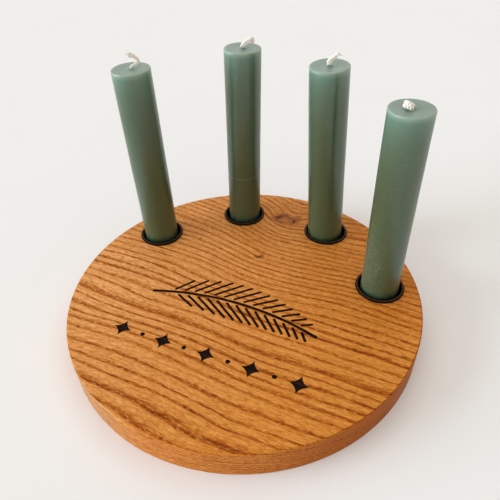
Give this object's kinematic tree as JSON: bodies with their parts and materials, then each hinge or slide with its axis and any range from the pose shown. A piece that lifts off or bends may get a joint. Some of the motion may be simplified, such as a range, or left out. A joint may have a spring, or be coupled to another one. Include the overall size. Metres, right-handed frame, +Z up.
{
  "type": "advent candle holder",
  "caption": "Round oak board with black metal candle cups along its back edge, each holding a straight green candle, and a burnt sprig-and-star ornament in front.",
  "frame": {"origin": "centre of the board's underside, on the table", "axes": "+Z up, +X to the right along the grain, +Y to the back, where the cups stand"},
  "size_m": [0.2, 0.2, 0.1365],
  "materials": {
    "oak": "oiled",
    "black_steel": "satin lacquer",
    "wax": "waxy",
    "cotton": "braided"
  },
  "bodies": {
    "holder": {"board": "oak", "cup_left": "black_steel", "cup_back_left": "black_steel", "cup_back_right": "black_steel", "cup_right": "black_steel"},
    "candle_left": {"candle_left": "wax", "wick_left": "cotton"},
    "candle_back_left": {"candle_back_left": "wax", "wick_back_left": "cotton"},
    "candle_back_right": {"candle_back_right": "wax", "wick_back_right": "cotton"},
    "candle_right": {"candle_right": "wax", "wick_right": "cotton"}
  },
  "joints": [
    {"name": "candle_left_lift", "type": "slide", "parent": "holder", "child": "candle_left", "axis": [-0.0118, 0.0032, 0.9999], "range_m": [0, 0.04]},
    {"name": "candle_back_left_lift", "type": "slide", "parent": "holder", "child": "candle_back_left", "axis": [0.0185, 0.0185, 0.9997], "range_m": [0, 0.04]},
    {"name": "candle_back_right_lift", "type": "slide", "parent": "holder", "child": "candle_back_right", "axis": [-0.037, -0.0231, 0.999], "range_m": [0, 0.04]},
    {"name": "candle_right_lift", "type": "slide", "parent": "holder", "child": "candle_right", "axis": [-0.0052, 0, 1], "range_m": [0, 0.04]}
  ]
}
